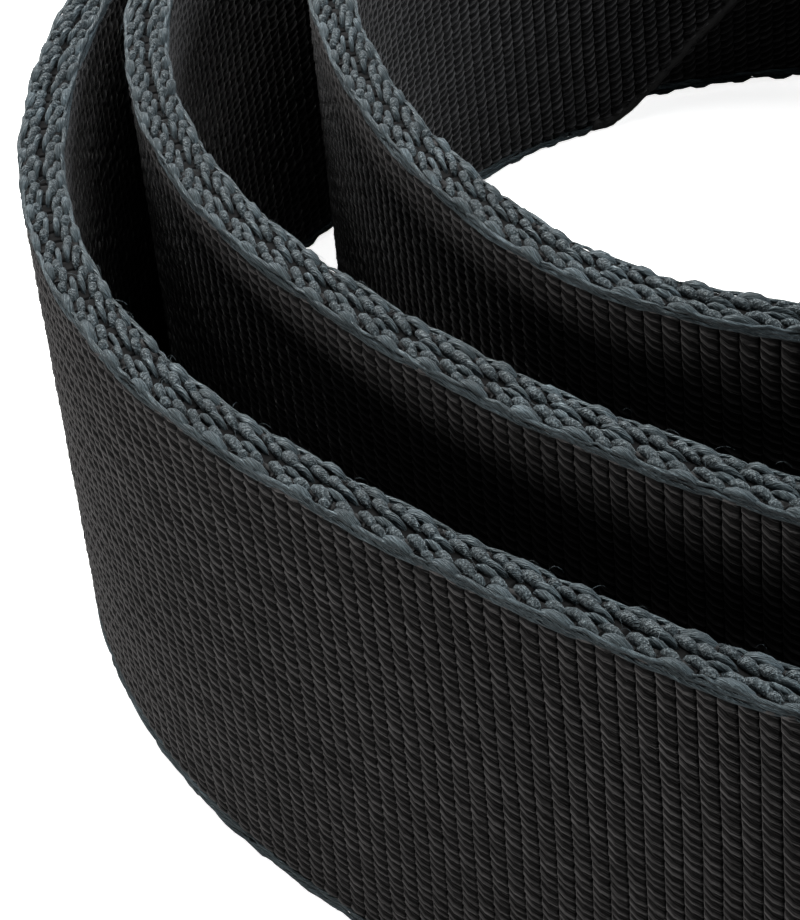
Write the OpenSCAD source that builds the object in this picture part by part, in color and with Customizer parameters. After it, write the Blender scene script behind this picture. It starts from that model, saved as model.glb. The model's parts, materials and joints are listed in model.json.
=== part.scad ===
// Dive weight belt: one length of heavy woven webbing, coiled loosely and standing on edge,
// with a stainless quick-release buckle looped and sewn to its outer end.

/* [Webbing] */
// Width of the webbing
web_w = 50; // [49:0.5:50.5]
// Thickness of the two woven plies together
web_t = 4.5; // [3.8:0.1:4.5]
// Height of the braided edge rows
edge_h = 1.5; // [1:0.1:3]
// Thickness of the black core that shows in the groove between the edge rows
core_t = 1; // [0.6:0.1:2]
// Length of the melted strip along the cut at the free end
tip_seal = 2; // [1:0.5:3]

/* [Sewn end] */
// Length of the double layer that is sewn behind the anchor bar
fold_l = 62; // [58:1:70]
// Height of the sewn end above the rest of the belt
fold_lift = 5; // [5:0.1:6]
// Thickness of the sewing thread
thread_t = 0.8; // [0.5:0.1:1.2]

/* [Buckle] */
// Thickness of the pressed steel frame
plate_t = 2; // [1.5:0.1:2]
// Room between the frame's flanges
clear_w = 52; // [51.5:0.5:52]
// Radius of the anchor bar
bar_r = 3; // [2.5:0.1:3]
// Distance from the anchor bar to the frame's front edge
frame_l = 60; // [56:0.5:64]
// Distance from the anchor bar to the hinge pin, along the belt
pin_x = 34; // [32:0.5:36]
// Distance from the anchor bar out to the hinge pin
pin_out = 9; // [8.8:0.1:9.5]
// Radius of the hinge pin
pin_r = 2; // [1.5:0.1:2.2]
// Radius of the lever's barrel
barrel_r = 6; // [5.5:0.1:6]
// Height of the lever's teeth
tooth_h = 1.1; // [0.8:0.1:1.1]

/* [Hidden] */

web_black = "#1d1c1d";
edge_slate = "#5d686c";
thread_black = "#2a2a2b";
steel = "#b9bcbf";

// The coil is a chain of bends, from the free end at its middle to the sewn end: [radius, angle].
coil_start = [0.2, 82.9];
coil_heading = 148;
tip_bends = [[58, 47]];
free_bends = [[46, 6]];
inner_bends = [[46, 69], [107, 30], [45.5, 60], [64.5, 90], [64, 90]];
middle_bends = [[79.5, 45], [57.5, 45], [81.5, 30], [141, 30], [67, 30], [75, 90], [101, 90]];
outer_bends = [[70, 45], [104, 45], [80.5, 40], [223, 15]];
run_bends = [[223, 15], [75, 40], [62, 70]];
bends = concat(tip_bends, free_bends, inner_bends, middle_bends, outer_bends, run_bends);
// Most that the belt turns between one station of the sweep and the next
turn_step = 6;

function arc_length(radius, angle) = radius * angle * PI / 180;
function steps(bend) = ceil(bend[1] / turn_step);
function station_count(list) = len(list) == 0 ? 0 : [for (bend = list) steps(bend)] * [for (bend = list) 1];
// Where a bend has got to after turning by an angle; a station is [x, y, heading, length along the belt].
function turned(start, radius, angle) = [
    start[0] + radius * (sin(start[2] + angle) - sin(start[2])),
    start[1] - radius * (cos(start[2] + angle) - cos(start[2])),
    start[2] + angle,
    start[3] + arc_length(radius, angle)];
function walk(start, i = 0) = i == len(bends) ? [start] :
    let(radius = bends[i][0], angle = bends[i][1], n = steps(bends[i]))
    concat([for (k = [0 : n - 1]) turned(start, radius, angle * k / n)],
           walk(turned(start, radius, angle), i + 1));

stations = walk(concat(coil_start, [coil_heading, 0]));
tip_end = station_count(tip_bends);
free_end = tip_end + station_count(free_bends);
inner_end = free_end + station_count(inner_bends);
middle_end = inner_end + station_count(middle_bends);
outer_end = middle_end + station_count(outer_bends);
run_end = outer_end + station_count(run_bends);
belt_end = stations[run_end];

// The last run of the belt rises smoothly to its sewn end, which the wider buckle holds off the ground.
rise_start = stations[outer_end][3];
function ease(t) = let(u = max(0, min(1, t))) u * u * (3 - 2 * u);
function lift(station) = fold_lift * ease((station[3] - rise_start) / (belt_end[3] - rise_start));
// The point at a distance outward from the belt's middle, seen from above
function beside(station, out) = [station[0] + out * sin(station[2]), station[1] - out * cos(station[2])];
function box_section(near, far, low, high) = [[near, low], [far, low], [far, high], [near, high]];

// Sweeps a section along the coil, from one station to another.
module sweep(section, first, last) {
    n = len(section);
    rings = last - first;
    points = [for (s = [first : last]) for (p = section)
        concat(beside(stations[s], p[0]), p[1] + lift(stations[s]))];
    sides = [for (r = [0 : rings - 1]) for (i = [0 : n - 1])
        let(a = r * n + i, b = r * n + (i + 1) % n) each [[a, b, b + n], [a, b + n, a + n]]];
    start_cap = [for (i = [n - 1 : -1 : 0]) i];
    end_cap = [for (i = [0 : n - 1]) rings * n + i];
    polyhedron(points, concat([start_cap], sides, [end_cap]), convexity = 10);
}

// A band of the level part of the coil, as thick as given and between two heights
module level_band(thick, low, high, first, last) {
    outer_side = [for (s = [first : last]) beside(stations[s], thick / 2)];
    inner_side = [for (s = [last : -1 : first]) beside(stations[s], -thick / 2)];
    translate([0, 0, low]) linear_extrude(high - low) polygon(concat(outer_side, inner_side));
}
// The two plies, on a thin core that reaches both edges
module level_webbing(first, last) {
    level_band(web_t, edge_h, web_w - edge_h, first, last);
    level_band(core_t, 0, web_w, first, last);
}

// The free end is cut at a slant of one in one. The cut starts at the belt's lower edge, at the end
// of the tip's bend, and leans back over that bend. A block on the open side of it runs along the chord.
tip_low = stations[tip_end];
module tip_block(outline) {
    depth = 4 * web_t;
    translate([tip_low[0], tip_low[1], 0])
        rotate([0, 0, (coil_heading + tip_low[2]) / 2])
            rotate([90, 0, 0])
                linear_extrude(depth, center = true) polygon(outline);
}
reach = web_w + 4;
module below_cut() {
    tip_block([[tip_seal, 0], [tip_seal, -1], [-reach, -1], [-reach, reach + tip_seal]]);
}
module along_cut() {
    tip_block([[0, 0], [tip_seal, 0], [tip_seal - reach, reach], [-reach, reach]]);
}

module webbing_free_end() {
    color(web_black) difference() {
        level_webbing(0, free_end);
        below_cut();
    }
}
module webbing_inner_wrap() { color(web_black) level_webbing(free_end, inner_end); }
module webbing_middle_wrap() { color(web_black) level_webbing(inner_end, middle_end); }
module webbing_outer_wrap() { color(web_black) level_webbing(middle_end, outer_end); }
module webbing_buckle_run() {
    color(web_black) {
        sweep(box_section(-web_t / 2, web_t / 2, edge_h, web_w - edge_h), outer_end, run_end);
        sweep(box_section(-core_t / 2, core_t / 2, 0, web_w), outer_end, run_end);
    }
}
// The strip that the hot knife melted along the cut, as thick as the plies
module heat_sealed_tip() {
    color(web_black) intersection() {
        level_band(web_t, 0, web_w, 0, free_end);
        along_cut();
    }
}

// Four braided rows, two on each edge. They start clear of the melted strip.
module edge_row(side, low, first) {
    near = core_t / 2;
    far = web_t / 2;
    color(edge_slate)
        sweep(side > 0 ? box_section(near, far, low, low + edge_h) : box_section(-far, -near, low, low + edge_h),
              first, run_end);
}
module outer_ply_upper_selvedge() { edge_row(1, web_w - edge_h, 1); }
module inner_ply_upper_selvedge() { edge_row(-1, web_w - edge_h, 1); }
module outer_ply_lower_selvedge() { edge_row(1, 0, free_end); }
module inner_ply_lower_selvedge() { edge_row(-1, 0, free_end); }

// The sewn end and the buckle are drawn round the anchor bar: x along the belt, y towards the coil.
module at_anchor_bar() {
    translate([belt_end[0], belt_end[1], web_w / 2 + fold_lift])
        rotate([0, 0, belt_end[2]])
            translate([fold_l, web_t / 2, 0])
                children();
}

// Radial room between the loop and the bar, and between the pin and what turns on it
running = 0.08;
loop_in = bar_r + running;
loop_out = loop_in + web_t;
// Where the two layers part to go round the bar, and where the inner layer ends
part_x = -14;
tail_x = 4 - fold_l;
module webbing_anchor_fold() {
    meet = [-1.6, loop_out - 0.6];
    color(web_black) at_anchor_bar() difference() {
        union() {
            cylinder(r = loop_out, h = web_w, center = true, $fn = 96);
            linear_extrude(web_w, center = true)
                polygon([[-fold_l, -web_t], [part_x, -web_t], [meet[0], -meet[1]], meet,
                         [part_x, web_t], [tail_x, web_t], [tail_x, 0], [-fold_l, 0]]);
        }
        cylinder(r = loop_in, h = 2 * web_w, center = true, $fn = 96);
    }
}

// A box with a cross in it and a bar across the tail, on both faces of the double layer
thread_out = 0.35;
box_x = [-50, -18];
box_z = 19;
bar_tack_x = -54.5;
module stitch_line(from, to, face) {
    along = to - from;
    translate([from[0], face > 0 ? web_t : -web_t - thread_out, from[1]])
        rotate([0, -atan2(along[1], along[0]), 0])
            translate([0, 0, -thread_t / 2]) cube([norm(along), thread_out, thread_t]);
}
module anchor_stitching() {
    a = [box_x[0], -box_z];
    b = [box_x[1], -box_z];
    c = [box_x[1], box_z];
    d = [box_x[0], box_z];
    color(thread_black) at_anchor_bar()
        for (face = [-1, 1]) {
            for (run = [[a, b], [b, c], [c, d], [d, a], [a, c], [b, d]]) stitch_line(run[0], run[1], face);
            stitch_line([bar_tack_x, -box_z], [bar_tack_x, box_z], face);
        }
}

flange_z = clear_w / 2;
outside_z = flange_z + plate_t;
module anchor_bar() {
    color(steel) at_anchor_bar() cylinder(r = bar_r, h = 2 * outside_z, center = true, $fn = 64);
}

// The frame is a channel: a base plate behind the belt, and two flanges with ears for the pin.
plate_y = web_t / 2 + 0.05;
plate_x = loop_out + 1.5;
flange_out = 3;
ear_r = 6.5;
module flange_outline() {
    back_y = plate_y + plate_t;
    difference() {
        union() {
            translate([0, -flange_out]) square([frame_l, flange_out + back_y]);
            circle(ear_r, $fn = 96);
            translate([pin_x, -pin_out]) circle(ear_r, $fn = 96);
            polygon([[pin_x - 2 * ear_r, -flange_out], [pin_x - 0.85 * ear_r, -pin_out - 0.5 * ear_r],
                     [pin_x + 0.85 * ear_r, -pin_out - 0.5 * ear_r], [pin_x + 2 * ear_r, -flange_out]]);
        }
        circle(bar_r, $fn = 64);
        translate([pin_x, -pin_out]) circle(pin_r, $fn = 64);
    }
}
module buckle_frame() {
    lip_r = plate_t * 0.8;
    color(steel) at_anchor_bar() {
        translate([plate_x, plate_y, -outside_z]) cube([frame_l - plate_x, plate_t, 2 * outside_z]);
        translate([frame_l, plate_y + lip_r, 0]) cylinder(r = lip_r, h = 2 * outside_z, center = true, $fn = 48);
        for (side = [-1, 1])
            translate([0, 0, side * (flange_z + plate_t / 2)])
                linear_extrude(plate_t, center = true) flange_outline();
    }
}

module at_hinge_pin() {
    at_anchor_bar() translate([pin_x, -pin_out, 0]) children();
}
head_r = 3.6;
head_h = 1.5;
washer_r = 4;
washer_h = 0.8;
peen_h = 0.8;
module hinge_pin() {
    color(steel) at_hinge_pin() {
        translate([0, 0, -outside_z - washer_h]) cylinder(r = pin_r, h = 2 * outside_z + washer_h, $fn = 64);
        translate([0, 0, outside_z]) cylinder(r = head_r, h = head_h, $fn = 64);
        translate([0, 0, -outside_z - washer_h - peen_h]) cylinder(r = 1.5 * pin_r, h = peen_h, $fn = 64);
    }
}
module pin_washer() {
    color(steel) at_hinge_pin() translate([0, 0, -outside_z - washer_h])
        difference() {
            cylinder(r = washer_r, h = washer_h, $fn = 64);
            translate([0, 0, -1]) cylinder(r = pin_r, h = washer_h + 2, $fn = 64);
        }
}

// The lever is a cast barrel with a row of teeth and a flat handle that folds back over the belt.
lever_z = flange_z - 2;
handle_t = 2.2;
handle_end = -8;
grip_r = 1.6;
tooth_angles = [-16, -8, 0, 8, 16];
module tooth(angle) {
    half = 0.8;
    rotate([0, 0, angle])
        linear_extrude(2 * lever_z, center = true)
            polygon([[-half, barrel_r - 0.6], [half, barrel_r - 0.6], [0, barrel_r + tooth_h]]);
}
module lever() {
    handle_l = pin_x - handle_end;
    color(steel) at_hinge_pin()
        difference() {
            union() {
                cylinder(r = barrel_r, h = 2 * lever_z, center = true, $fn = 96);
                for (angle = tooth_angles) tooth(angle);
                translate([-handle_l, -barrel_r, -lever_z]) cube([handle_l, handle_t, 2 * lever_z]);
                translate([-handle_l, grip_r - barrel_r - 0.8, 0])
                    cylinder(r = grip_r, h = 2 * lever_z, center = true, $fn = 48);
            }
            cylinder(r = pin_r + running, h = 3 * lever_z, center = true, $fn = 64);
        }
}

webbing_free_end();
webbing_inner_wrap();
webbing_middle_wrap();
webbing_outer_wrap();
webbing_buckle_run();
webbing_anchor_fold();
heat_sealed_tip();
outer_ply_upper_selvedge();
inner_ply_upper_selvedge();
outer_ply_lower_selvedge();
inner_ply_lower_selvedge();
anchor_stitching();
anchor_bar();
buckle_frame();
hinge_pin();
pin_washer();
lever();
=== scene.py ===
"""Looks of a dive weight belt: double-woven ribbed webbing, coiled on edge, with a sewn-on buckle.

The belt follows the same route as the plain model. Its ribs, braided edges, melted ends and stitches are
real geometry, the steel parts are folded, lofted and turned, and the finishes are node materials.
"""

import json
import logging
import math
from dataclasses import dataclass
from enum import Enum
from typing import Callable, Sequence

import bmesh
import bpy
import numpy as np
from mathutils import Matrix, Vector
from mathutils.geometry import delaunay_2d_cdt


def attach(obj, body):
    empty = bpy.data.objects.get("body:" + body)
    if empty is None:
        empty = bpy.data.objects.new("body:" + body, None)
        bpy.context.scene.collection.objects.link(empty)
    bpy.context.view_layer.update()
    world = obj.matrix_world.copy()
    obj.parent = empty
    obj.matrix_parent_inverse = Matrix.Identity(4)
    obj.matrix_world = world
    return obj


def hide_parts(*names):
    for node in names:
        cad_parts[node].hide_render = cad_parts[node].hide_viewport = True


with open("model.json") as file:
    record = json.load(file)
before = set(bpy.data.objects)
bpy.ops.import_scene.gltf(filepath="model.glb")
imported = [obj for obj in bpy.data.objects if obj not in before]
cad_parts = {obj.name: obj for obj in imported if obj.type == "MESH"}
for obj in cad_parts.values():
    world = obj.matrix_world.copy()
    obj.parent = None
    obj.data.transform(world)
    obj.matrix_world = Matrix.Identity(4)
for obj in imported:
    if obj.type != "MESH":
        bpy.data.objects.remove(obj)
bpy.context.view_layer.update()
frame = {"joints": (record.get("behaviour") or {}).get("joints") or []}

LOG = logging.getLogger("weight_belt")
MM = 0.001
WEAVE_MAP = "weave"
# Added to the map coordinate round a crimped yarn, so that its material can tell it from a flat one.
CRIMP_SHIFT = 100.0

Mapping = Callable[[np.ndarray, np.ndarray, np.ndarray], np.ndarray]
Colour = tuple[float, float, float]


# ---------------------------------------------------------------- route of the belt


@dataclass(frozen=True)
class Stretch:
    """One stretch of the belt's route: an arc, or a straight run where it turns by nothing."""

    length: float
    turn: float


def arc(radius: float, angle: float) -> Stretch:
    """Returns an arc of a radius in mm that turns left by an angle in degrees."""
    return Stretch(radius * math.radians(abs(angle)), math.radians(angle))


def straight(length: float) -> Stretch:
    """Returns a straight run of a length in mm."""
    return Stretch(length, 0.0)


def ease(share: np.ndarray) -> np.ndarray:
    """Steps smoothly from 0 to 1.

    Args:
        share: How far the step has gone; less than 0 counts as 0 and more than 1 as 1.

    Returns:
        The eased share.
    """
    held = np.clip(share, 0.0, 1.0)
    return held * held * (3.0 - 2.0 * held)


class Route:
    """The belt's middle line seen from above, and how far the belt is lifted along it."""

    def __init__(self, start: tuple[float, float], heading: float, stretches: Sequence[Stretch]) -> None:
        """Walks the stretches.

        Args:
            start: Where the route begins, in mm.
            heading: Its first heading in degrees, from +X towards +Y.
            stretches: The arcs and straight runs in order.
        """
        self.rise: tuple[float, float] = (math.inf, math.inf)
        self.height = 0.0
        self.curvature = np.array([s.turn / s.length for s in stretches])
        self.knots = np.concatenate([[0.0], np.cumsum([s.length for s in stretches])])
        self.starts = np.zeros((len(stretches), 3))
        self.starts[0] = (*start, math.radians(heading))
        for i in range(1, len(stretches)):
            x, y, angle = self.at(np.array(self.knots[i]), i - 1)
            self.starts[i] = (x, y, angle)

    def at(self, along: np.ndarray, index: int | None = None) -> tuple[np.ndarray, np.ndarray, np.ndarray]:
        """Finds points of the middle line.

        Args:
            along: Lengths along the belt, in mm.
            index: The stretch to follow, or None for the one that each length is on.

        Returns:
            x, y and heading of each point, in mm and radians.
        """
        if index is None:
            last = len(self.curvature) - 1
            index = np.clip(np.searchsorted(self.knots, along, side="right") - 1, 0, last)
        begin = self.starts[index]
        gone = along - self.knots[index]
        half = self.curvature[index] * gone / 2.0
        chord = gone * np.sinc(half / math.pi)
        middle = begin[..., 2] + half
        x = begin[..., 0] + chord * np.cos(middle)
        y = begin[..., 1] + chord * np.sin(middle)
        return x, y, middle + half

    def place(self, along: np.ndarray, out: np.ndarray, up: np.ndarray) -> np.ndarray:
        """Places points beside the belt's middle line.

        Args:
            along: Lengths along the belt, in mm.
            out: Distances to the right of the heading, which is outward on the coil.
            up: Heights above the belt's lower edge.

        Returns:
            The points in mm, with x, y and z in the last axis.
        """
        x, y, angle = self.at(along)
        lift = self.height * ease((along - self.rise[0]) / (self.rise[1] - self.rise[0]))
        beside = (x + out * np.sin(angle), y - out * np.cos(angle), up + lift)
        return np.stack(np.broadcast_arrays(*beside), -1)


# ---------------------------------------------------------------- mesh helpers


@dataclass
class Shell:
    """Points, faces and map coordinates of a mesh in the making, in mm."""

    points: np.ndarray
    faces: list[np.ndarray]
    chart: np.ndarray | None = None


def joined(shells: Sequence[Shell]) -> Shell:
    """Joins shells without welding them.

    Args:
        shells: The shells, each with or without map coordinates.

    Returns:
        One shell that holds all of them.
    """
    faces: list[np.ndarray] = []
    base = 0
    for shell in shells:
        faces.extend(block + base for block in shell.faces)
        base += len(shell.points)
    charts = [s.chart if s.chart is not None else np.zeros((len(s.points), 2)) for s in shells]
    return Shell(np.concatenate([s.points for s in shells]), faces, np.concatenate(charts))


def turned_outward(shell: Shell) -> Shell:
    """Flips a shell's faces if they enclose a negative volume.

    Args:
        shell: The closed shell.

    Returns:
        The same shell, whose faces look outward.
    """
    volume = 0.0
    for block in shell.faces:
        corners = shell.points[block]
        for k in range(1, block.shape[1] - 1):
            volume += np.einsum("ij,ij->", corners[:, 0], np.cross(corners[:, k], corners[:, k + 1]))
    if volume < 0.0:
        shell.faces = [block[:, ::-1] for block in shell.faces]
    return shell


def mesh_object(name: str, shell: Shell, smooth_angle: float | None = None) -> bpy.types.Object:
    """Makes a smooth-shaded object from a shell.

    Args:
        name: The piece's name.
        shell: Its points, faces and map coordinates in mm.
        smooth_angle: Edges sharper than this, in degrees, are kept sharp; None keeps none.

    Returns:
        The new object, in metres.
    """
    mesh = bpy.data.meshes.new(name)
    every = np.concatenate([block.ravel() for block in shell.faces])
    used, corners = np.unique(every, return_inverse=True)
    corners = corners.ravel().astype(np.int32)
    counts = np.concatenate([np.full(len(block), block.shape[1], np.int32) for block in shell.faces])
    mesh.vertices.add(len(used))
    mesh.vertices.foreach_set("co", (shell.points[used] * MM).astype(np.float32).ravel())
    mesh.loops.add(len(corners))
    mesh.loops.foreach_set("vertex_index", corners)
    mesh.polygons.add(len(counts))
    mesh.polygons.foreach_set("loop_start", (np.cumsum(counts) - counts).astype(np.int32))
    if shell.chart is not None:
        layer = mesh.uv_layers.new(name=WEAVE_MAP)
        layer.data.foreach_set("uv", shell.chart[used][corners].astype(np.float32).ravel())
    mesh.update(calc_edges=True)
    mesh.validate()
    mesh.shade_smooth()
    if smooth_angle is not None:
        mesh.set_sharp_from_angle(angle=math.radians(smooth_angle))
    piece = bpy.data.objects.new(name, mesh)
    bpy.context.scene.collection.objects.link(piece)
    return piece


def grid_faces(rows: int, columns: int, wrap: bool = False) -> np.ndarray:
    """Lays quads over a grid of points that are counted row after row.

    Args:
        rows: How many rows the grid has.
        columns: How many points a row has.
        wrap: Whether the last column meets the first.

    Returns:
        The four corners of each quad, shape (count, 4).
    """
    row = np.arange(rows - 1)[:, None] * columns
    here = np.arange(columns if wrap else columns - 1)[None, :]
    there = (here + 1) % columns
    quads = np.stack([row + here, row + columns + here, row + columns + there, row + there], -1)
    return quads.reshape(-1, 4)


def collapsed(quads: np.ndarray) -> list[np.ndarray]:
    """Sorts out quads whose neighbouring corners have become one point.

    Args:
        quads: The quads, shape (count, 4).

    Returns:
        The whole quads, and the triangles that are left of those that lost a corner.
    """
    same = quads == np.roll(quads, -1, axis=1)
    triangles = same.sum(axis=1) == 1
    return [quads[~same.any(axis=1)], quads[triangles][~same[triangles]].reshape(-1, 3)]


def ring_fans(rings: int, sides: int) -> tuple[np.ndarray, np.ndarray]:
    """Fans the first and the last ring of a tube to the two tip points that follow its rings.

    Args:
        rings: How many rings the tube has.
        sides: Points round a ring.

    Returns:
        The triangles at the first ring and at the last one.
    """
    around = np.arange(sides)
    beyond = (around + 1) % sides
    tip = rings * sides
    row = (rings - 1) * sides
    first = np.stack([np.full(sides, tip), around, beyond], -1)
    last = np.stack([np.full(sides, tip + 1), row + beyond, row + around], -1)
    return first, last


def tube(rings: np.ndarray, chart: np.ndarray | None = None, tips: np.ndarray | None = None) -> Shell:
    """Makes a closed tube from rings of points, with a fan at each end.

    Args:
        rings: Points with shape (rings, sides, 3).
        chart: Map coordinates with shape (rings, sides, 2), or None.
        tips: The middle point of each end, or None to take it from the end's ring.

    Returns:
        The closed shell.
    """
    count, sides = rings.shape[:2]
    if tips is None:
        tips = rings[[0, -1]].mean(axis=1)
    points = np.concatenate([rings.reshape(-1, 3), tips])
    if chart is not None:
        chart = np.concatenate([chart.reshape(-1, 2), chart[[0, -1]].mean(axis=1)])
    return Shell(points, [grid_faces(count, sides, wrap=True), *ring_fans(count, sides)], chart)


def rounded(corners: Sequence[tuple[float, float, float]], step: float = 12.0) -> np.ndarray:
    """Rounds a closed outline's corners.

    Args:
        corners: x, y and rounding radius of each corner.
        step: The most degrees between points of a rounded corner.

    Returns:
        The outline's points, shape (count, 2).
    """
    nearly_straight = 0.01
    outline: list[np.ndarray] = []
    count = len(corners)
    for i, (x, y, radius) in enumerate(corners):
        here = np.array([x, y])
        back = np.array(corners[i - 1][:2]) - here
        on = np.array(corners[(i + 1) % count][:2]) - here
        back, on = back / np.linalg.norm(back), on / np.linalg.norm(on)
        opening = math.acos(float(np.clip(back @ on, -1.0, 1.0)))
        if radius <= 0.0 or opening > math.pi - nearly_straight:
            outline.append(here)
            continue
        centre = here + (back + on) / np.linalg.norm(back + on) * radius / math.sin(opening / 2.0)
        begin = here + back * radius / math.tan(opening / 2.0) - centre
        sweep = math.pi - opening
        sign = 1.0 if back[0] * on[1] - back[1] * on[0] < 0.0 else -1.0
        pieces = max(1, math.ceil(math.degrees(sweep) / step))
        for k in range(pieces + 1):
            a = sign * sweep * k / pieces
            outline.append(centre + np.array([begin[0] * math.cos(a) - begin[1] * math.sin(a),
                                              begin[0] * math.sin(a) + begin[1] * math.cos(a)]))
    return np.array(outline)


def round_angles(sides: int) -> np.ndarray:
    """Returns the angles of evenly spaced points round a circle, in radians."""
    return np.arange(sides) * 2.0 * math.pi / sides


def ring(centre: tuple[float, float], radius: float, sides: int) -> np.ndarray:
    """Lays points round a circle in the plane.

    Args:
        centre: The circle's middle.
        radius: Its radius.
        sides: How many points it has.

    Returns:
        The points, shape (sides, 2).
    """
    angle = round_angles(sides)
    return np.stack([centre[0] + radius * np.cos(angle), centre[1] + radius * np.sin(angle)], -1)


def lathe(profile: Sequence[tuple[float, float]], sides: int) -> Shell:
    """Turns a profile round the Z axis.

    Args:
        profile: Radius and height of each point; the first and the last are on the axis.
        sides: Points round a turn.

    Returns:
        The closed shell.
    """
    angle = round_angles(sides)
    tips = np.array([(0.0, 0.0, profile[0][1]), (0.0, 0.0, profile[-1][1])])
    line = np.array(profile[1:-1])
    rings = np.stack([line[:, :1] * np.cos(angle), line[:, :1] * np.sin(angle),
                      np.broadcast_to(line[:, 1:], (len(line), sides))], -1)
    return turned_outward(tube(rings, tips=tips))


# ---------------------------------------------------------------- woven webbing


@dataclass(frozen=True)
class FloatForm:
    """One float of a braid's repeat, placed by shares of the repeat and of the row's width."""

    start: float
    end: float
    across_start: float
    across_end: float
    half_width: float
    half_height: float
    sink: float = 0.0
    crimped: bool = False


def float_shells(starts: np.ndarray, ends: np.ndarray, tops: np.ndarray, half_width: np.ndarray,
                 half_height: np.ndarray, dip: float, rings: int, sides: int, place: Mapping,
                 shift: float = 0.0) -> Shell:
    """Makes many yarn floats at once: short sausages whose ends dive into the fabric.

    Args:
        starts: Where each float starts on the fabric's surface, shape (count, 2).
        ends: Where each float ends.
        tops: Height of each float's back above the surface.
        half_width: Half of each float's width.
        half_height: Half of each float's thickness.
        dip: How far the ends dive.
        rings: Rings of points along a float.
        sides: Points round a float.
        place: Turns along, across and height into points.
        shift: Added to the map coordinate round a float, to tell one kind of yarn from another.

    Returns:
        One shell that holds every float.
    """
    count = len(starts)
    blunt, stoop, chart_gap = 2.6, 2.2, 7.31
    share = (1.0 - np.cos(math.pi * (np.arange(rings) + 0.35) / (rings - 0.3))) / 2.0
    bulge = np.sqrt(np.clip(1.0 - np.abs(2.0 * share - 1.0) ** blunt, 0.02, 1.0))
    angle = round_angles(sides)
    run = ends - starts
    length = np.linalg.norm(run, axis=1)
    ahead = run / length[:, None]
    axis = starts[:, None, :] + run[:, None, :] * share[None, :, None]
    width = half_width[:, None] * bulge
    height = half_height[:, None] * bulge
    back = tops[:, None] - half_height[:, None] - dip * np.abs(2.0 * share - 1.0) ** stoop
    side = width[:, :, None] * np.cos(angle)
    along = axis[:, :, 0, None] - ahead[:, None, None, 1] * side
    across = axis[:, :, 1, None] + ahead[:, None, None, 0] * side
    rise = back[:, :, None] + height[:, :, None] * np.sin(angle)
    tip_share = np.array([0.0, 1.0])
    tips = starts[:, None, :] + run[:, None, :] * tip_share[None, :, None]
    tip_rise = np.broadcast_to((tops - half_height)[:, None] - dip, (count, 2))
    along = np.concatenate([along.reshape(count, -1), tips[:, :, 0]], axis=1)
    across = np.concatenate([across.reshape(count, -1), tips[:, :, 1]], axis=1)
    rise = np.concatenate([rise.reshape(count, -1), tip_rise], axis=1)
    offset = (np.arange(count) * chart_gap)[:, None]
    lengthwise = np.concatenate([np.repeat(share, sides), tip_share])
    chart_along = lengthwise[None, :] * length[:, None] + offset
    roundwise = np.concatenate([np.tile(angle, rings), [0.0, 0.0]])
    chart_round = roundwise[None, :] * half_width[:, None] + shift
    chart = np.stack([chart_along, chart_round], -1).reshape(-1, 2)
    points = place(along, across, rise).reshape(-1, 3)
    base = (np.arange(count) * (rings * sides + 2))[:, None, None]
    quads = (grid_faces(rings, sides, wrap=True)[None] + base).reshape(-1, 4)
    fans = (np.concatenate(ring_fans(rings, sides))[None] + base).reshape(-1, 3)
    return turned_outward(Shell(points, [quads, fans], chart))


class Ply(Enum):
    """Which of the two woven plies a braided row belongs to."""

    OUTER = 1.0
    INNER = -1.0


class Edge(Enum):
    """Which edge of the webbing a braided row runs along."""

    UPPER = 1.0
    LOWER = -1.0


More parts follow.
